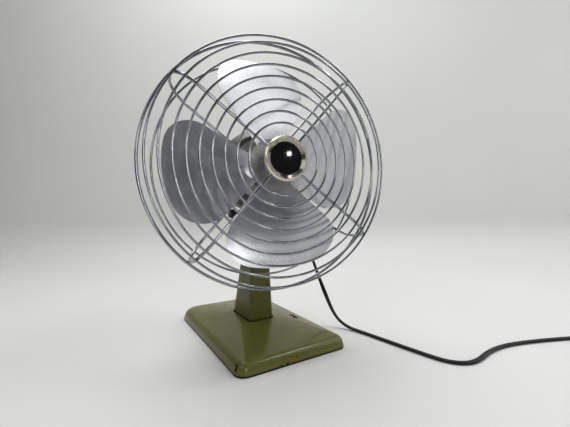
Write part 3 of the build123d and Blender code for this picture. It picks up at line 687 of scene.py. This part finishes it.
def base_outline(half_width, half_depth, front_corner, rear_corner):
    """Points round the base's plan, its rear corners rounder than its front ones."""
    corners = [(1, -1, front_corner), (1, 1, rear_corner), (-1, 1, rear_corner), (-1, -1, front_corner)]
    arcs = []
    for quarter, (right, rear, radius) in enumerate(corners):
        middle = Vector((right * (half_width - radius), rear * (half_depth - radius)))
        turns = [pi / 2 * (quarter - 1 + step / CORNER_STEPS) for step in range(CORNER_STEPS + 1)]
        arcs.append([middle + radius * Vector((cos(turn), sin(turn))) for turn in turns])
    points = []
    for arc, following in zip(arcs, [*arcs[1:], arcs[0]]):
        points += arc
        points += [arc[-1].lerp(following[0], step / SIDE_STEPS) for step in range(1, SIDE_STEPS)]
    return points


def edge_profile():
    """Inset and height from inside the turned-under lip, up the splayed side and over the rolled edge."""
    lip = SHEET / 2
    profile = [(SHEET, PAD_HEIGHT + 2 * SHEET)]
    for step in range(LIP_STEPS + 1):
        turn = pi * step / LIP_STEPS
        profile.append((lip + lip * cos(turn), PAD_HEIGHT + lip - lip * sin(turn)))
    middle_height = EDGE_HEIGHT - EDGE_ROLL
    middle = EDGE_ROLL / cos(SIDE_SPLAY) + (middle_height - PAD_HEIGHT) * tan(SIDE_SPLAY)
    for step in range(ROLL_STEPS + 1):
        turn = SIDE_SPLAY + (ROLL_END - SIDE_SPLAY) * step / ROLL_STEPS
        profile.append((middle - EDGE_ROLL * cos(turn), middle_height + EDGE_ROLL * sin(turn)))
    return profile


def raised(outline, height):
    return [point.to_3d() + Vector((0, 0, height)) for point in outline]


def make_base_cover():
    """The stamped cover: its edge, then a crowned top from the edge's last outline up to the neck's foot."""
    foot = (BASE_HALF_WIDTH, BASE_HALF_DEPTH, FRONT_CORNER, REAR_CORNER)
    crown = (CROWN_HALF_WIDTH, CROWN_HALF_DEPTH, CROWN_CORNER, CROWN_CORNER)
    rings = []
    for inset, height in edge_profile():
        plan = [size - inset for size in foot]
        rings.append(raised(base_outline(*plan), height))
    for step in range(1, CROWN_STEPS + 1):
        share = step / CROWN_STEPS
        bow = share * (1 - share)
        swell = 4 * bow * CROWN_SWELL
        width, depth, front, rear = [low + (high - low) * share for low, high in zip(plan, crown)]
        outline = base_outline(width, depth, front + swell, rear + swell)
        rings.append(raised(outline, height + (CROWN_HEIGHT - height) * (share + CROWN_BULGE * bow)))
    points, faces = skin(rings, closed=False, open_start=True)
    cover = new_piece("base_cover", points, faces, "base_paint")
    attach(cover, "base")
    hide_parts("base_shell")


make_base_cover()


# Lead


def heading(angle):
    return Vector((cos(angle), sin(angle), 0))


def relief_point(reach):
    """A point along the strain relief's axis, counted from the fan axis."""
    return ON_HEAD @ polar(reach, RELIEF_ANGLE, RELIEF_DEPTH)


def half_turn(start, angle, radius, rise):
    """Control points of half a turn to the right that ends higher by the rise."""
    ahead = heading(angle)
    lean = asin(rise / (2 * radius))
    across = heading(angle - pi / 2) * cos(lean) + Vector((0, 0, sin(lean)))
    turns = [pi * step / COIL_TURN_POINTS for step in range(1, COIL_TURN_POINTS + 1)]
    return [start + across * radius * (1 - cos(turn)) + ahead * radius * sin(turn) for turn in turns]


def lead_points():
    """The route's control points: out of the relief, down, along the floor, then the put-away coil."""
    points = [relief_point(RELIEF_END), relief_point(RELIEF_END + LEAD_FIRST_RUN)]
    points += [Vector(point) for point in LEAD_ROUTE]
    points.append(points[-1] + heading(COIL_HEADING) * COIL_RUN)
    points.append(points[-1] + heading(COIL_HEADING) * LEAD_WIDTH)
    winding = [(COIL_OUTER - step * COIL_PITCH / 2, 0.0) for step in range(COIL_HALF_TURNS)]
    climb = (winding[-1][0] - COIL_PITCH / 2, COIL_RISE)
    angle = COIL_HEADING
    for radius, rise in [*winding, climb, *reversed(winding)]:
        points += half_turn(points[-1], angle, radius, rise)
        angle += pi
    plug_low, plug_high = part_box("plug_body")
    end = points[-1] + heading(angle) * COIL_END_RUN
    end.z = (plug_low.z + plug_high.z) / 2
    middle = points[-1].lerp(end, 0.5)
    points += [middle, end]
    return points


def smooth_line(points):
    """Points along the NURBS spline that has the given control points."""
    curve = bpy.data.curves.new("lead_line", "CURVE")
    curve.dimensions = "3D"
    spline = curve.splines.new("NURBS")
    spline.points.add(len(points) - 1)
    for control, point in zip(spline.points, points):
        control.co = (*point, 1.0)
    spline.order_u = 3
    spline.use_endpoint_u = True
    curve.resolution_u = LEAD_STEPS
    line = bpy.data.objects.new("lead_line", curve)
    bpy.context.collection.objects.link(line)
    evaluated = line.evaluated_get(bpy.context.evaluated_depsgraph_get())
    mesh = bpy.data.meshes.new_from_object(evaluated)
    path = [vertex.co.copy() for vertex in mesh.vertices]
    bpy.data.objects.remove(line)
    return path


def twin_section():
    """Outline of a flat twin lead: two round cores side by side with a groove between them."""
    core = LEAD_THICKNESS / 2
    offset = LEAD_WIDTH / 2 - core
    groove = GROOVE_SHARE * core
    turns = [CORE_ARC * (2 * step / (CORE_POINTS - 1) - 1) for step in range(CORE_POINTS)]
    right = [(offset + core * cos(turn), core * sin(turn)) for turn in turns]
    left = [(-u, -v) for u, v in right]
    return [(0, -groove), *right, (0, groove), *left]


def make_lead():
    """The lead lies flat on the floor and turns, as it rises, to the side that it leaves the relief with."""
    path = smooth_line(lead_points())
    exit_side = ON_HEAD.to_3x3() @ Vector((0, 1, 0))

    def side_of(step, along):
        level = along.cross(Vector((0, 0, 1)))
        # A run that is all but plumb has no level side
        if level.length <= PLUMB:
            return exit_side
        upright = min(1.0, max(0.0, (path[step].z - FLAT_BELOW) / TURNS_WITHIN))
        return level.normalized().lerp(exit_side, upright)

    points, faces = skin(swept(path, twin_section(), side_of), closed=False)
    lead = new_piece("lead", points, faces, "vinyl")
    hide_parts("cord", "cord_coil")
    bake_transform(lead)


make_lead()


# Cage


def ring_depth(radius, spoke_depth, side):
    """Depth of a ring that lies on the outside of the spokes, in front (-1) or behind (1)."""
    reach = SHOULDER + SEAT
    over = max(0.0, radius - (SPOKE_RIM - SHOULDER))
    return spoke_depth + side * (sqrt(reach**2 - over**2) - SHOULDER)


def front_rings():
    """Radius and depth of each ring over the face."""
    step = (RING_LAST - RING_FIRST) / (RING_COUNT - 1)
    radii = [RING_FIRST + step * index for index in range(RING_COUNT)]
    return [(radius, ring_depth(radius, SPOKE_FACE, -1)) for radius in radii]


FRONT_RINGS = front_rings()
BACK_RING_DEPTH = ring_depth(BACK_RING_RADIUS, SPOKE_TAIL_DEPTH, 1)


def place_wire(piece, node):
    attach(piece, "head")
    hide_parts(node)


def make_ring(name, node, radius, depth, wire):
    """A closed ring of round wire about the fan axis."""
    section = wire_section(wire)
    rings = []
    for step in range(RING_STEPS):
        angle = 2 * pi * step / RING_STEPS
        rings.append([ON_HEAD @ polar(radius + u, angle, depth + v) for u, v in section])
    points, faces = skin(rings, closed=True)
    place_wire(new_piece(name, points, faces, "chrome"), node)


def hairpin(angle):
    """Points along one spoke: out over the face, round the rim and back in to the motor."""
    inner = SPOKE_RIM - SHOULDER
    back_middle = SPOKE_TAIL_DEPTH - SHOULDER
    shares = [step / SPOKE_RUN_STEPS for step in range(SPOKE_RUN_STEPS + 1)]
    bends = [pi / 2 * step / SPOKE_BEND_STEPS for step in range(SPOKE_BEND_STEPS + 1)]
    places = [(SPOKE_INNER + (inner - SPOKE_INNER) * share, SPOKE_FACE) for share in shares[:-1]]
    places += [(inner + SHOULDER * sin(bend), SPOKE_FACE + SHOULDER * (1 - cos(bend))) for bend in bends]
    places += [(inner + SHOULDER * cos(bend), back_middle + SHOULDER * sin(bend)) for bend in bends]
    places += [(inner + (SPOKE_TAIL - inner) * share, SPOKE_TAIL_DEPTH) for share in shares[1:]]
    return [ON_HEAD @ polar(radius, angle, depth) for radius, depth in places]


def make_spoke(name, angle):
    sideways = ON_HEAD.to_3x3() @ Vector((-sin(angle), 0, cos(angle)))
    rings = swept(hairpin(angle), wire_section(SPOKE_WIRE), lambda step, along: sideways)
    points, faces = skin(rings, closed=False)
    place_wire(new_piece(name, points, faces, "chrome"), "guard_spokes")


def make_cage():
    for index, (radius, depth) in enumerate(FRONT_RINGS):
        make_ring(f"front_ring_{index + 1}", "front_rings", radius, depth, RING_WIRE)
    make_ring("rim_ring", "rear_rings", RIM_RADIUS, RIM_DEPTH, SPOKE_WIRE)
    make_ring("back_ring", "rear_rings", BACK_RING_RADIUS, BACK_RING_DEPTH, RING_WIRE)
    for index, angle in enumerate(SPOKE_ANGLES):
        make_spoke(f"spoke_{index + 1}", radians(angle))


def bead(points, faces, middle, axes):
    """Add one small weld, a blob with the given half axes, to a mesh under construction."""
    outward, around, deep = axes
    first = len(points)
    rings = []
    for row in range(1, BEAD_ROWS):
        turn = pi * row / BEAD_ROWS
        for column in range(BEAD_COLUMNS):
            angle = 2 * pi * column / BEAD_COLUMNS
            offset = outward * (sin(turn) * cos(angle)) + around * (sin(turn) * sin(angle))
            rings.append(middle + (offset + deep * cos(turn)))
    points += [ON_HEAD @ point for point in [*rings, middle + deep, middle - deep]]
    low = first + len(rings)
    high = low + 1
    last = first + (BEAD_ROWS - 2) * BEAD_COLUMNS
    for column in range(BEAD_COLUMNS):
        after = (column + 1) % BEAD_COLUMNS
        faces.append((low, first + column, first + after))
        faces.append((high, last + after, last + column))
        for here in range(first, last, BEAD_COLUMNS):
            over = here + BEAD_COLUMNS
            faces.append((here + column, over + column, over + after, here + after))


def make_welds():
    """A weld at every crossing of a ring and a spoke."""
    crossings = [(radius, depth + RING_WIRE / 2) for radius, depth in FRONT_RINGS]
    crossings.append((RIM_RADIUS - SPOKE_WIRE / 2, RIM_DEPTH))
    crossings.append((BACK_RING_RADIUS, BACK_RING_DEPTH - RING_WIRE / 2))
    points = []
    faces = []
    for angle in SPOKE_ANGLES:
        turn = radians(angle)
        outward = polar(BEAD_OUTWARD, turn, 0.0)
        around = polar(BEAD_AROUND, turn + pi / 2, 0.0)
        for radius, depth in crossings:
            bead(points, faces, polar(radius, turn, depth), (outward, around, Vector((0, BEAD_DEPTH, 0))))
    welds = new_piece("cage_welds", points, faces, "chrome")
    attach(welds, "head")


make_cage()
make_welds()


# Stage and light


def make_stage():
    """A pale floor that turns up into a pale wall behind the object, square to the camera."""
    ahead = Vector((sin(CAMERA_YAW), cos(CAMERA_YAW), 0))
    across = Vector((cos(CAMERA_YAW), -sin(CAMERA_YAW), 0))
    middle = WALL_DISTANCE - WALL_BEND
    turns = [pi / 2 * step / WALL_BEND_STEPS for step in range(WALL_BEND_STEPS + 1)]
    profile = [(reach, 0.0) for reach in FLOOR_ROWS]
    profile += [(middle + WALL_BEND * sin(turn), WALL_BEND - WALL_BEND * cos(turn)) for turn in turns]
    profile.append((WALL_DISTANCE, WALL_HEIGHT))
    points = []
    for reach, up in profile:
        for side in (-STAGE_HALF_WIDTH, STAGE_HALF_WIDTH):
            points.append(ahead * reach + across * side + Vector((0, 0, up)))
    faces = [(row, row + 1, row + 3, row + 2) for row in range(0, len(points) - 2, 2)]
    floor = new_piece("floor", points, faces, "floor")


def area_light(name, place, target, width, length, power, spread):
    data = bpy.data.lights.new(name, "AREA")
    data.shape = "RECTANGLE"
    data.size = width
    data.size_y = length
    data.energy = power
    data.spread = radians(spread)
    light = bpy.data.objects.new(name, data)
    light.location = place
    light.rotation_mode = "QUATERNION"
    light.rotation_quaternion = (Vector(target) - Vector(place)).to_track_quat("-Z", "Y")
    bpy.context.collection.objects.link(light)


def make_light():
    """A dim, even room with soft lamps, and smaller ones for crisp highlights."""
    world = bpy.data.worlds.new("room")
    bpy.context.scene.world = world
    world.use_nodes = True
    background = world.node_tree.nodes["Background"]
    background.inputs["Color"].default_value = ROOM_COLOUR
    background.inputs["Strength"].default_value = ROOM_LEVEL
    for name, lamp in LAMPS.items():
        area_light(name, *lamp)
    bpy.context.scene.view_settings.view_transform = "Standard"


make_stage()
make_light()
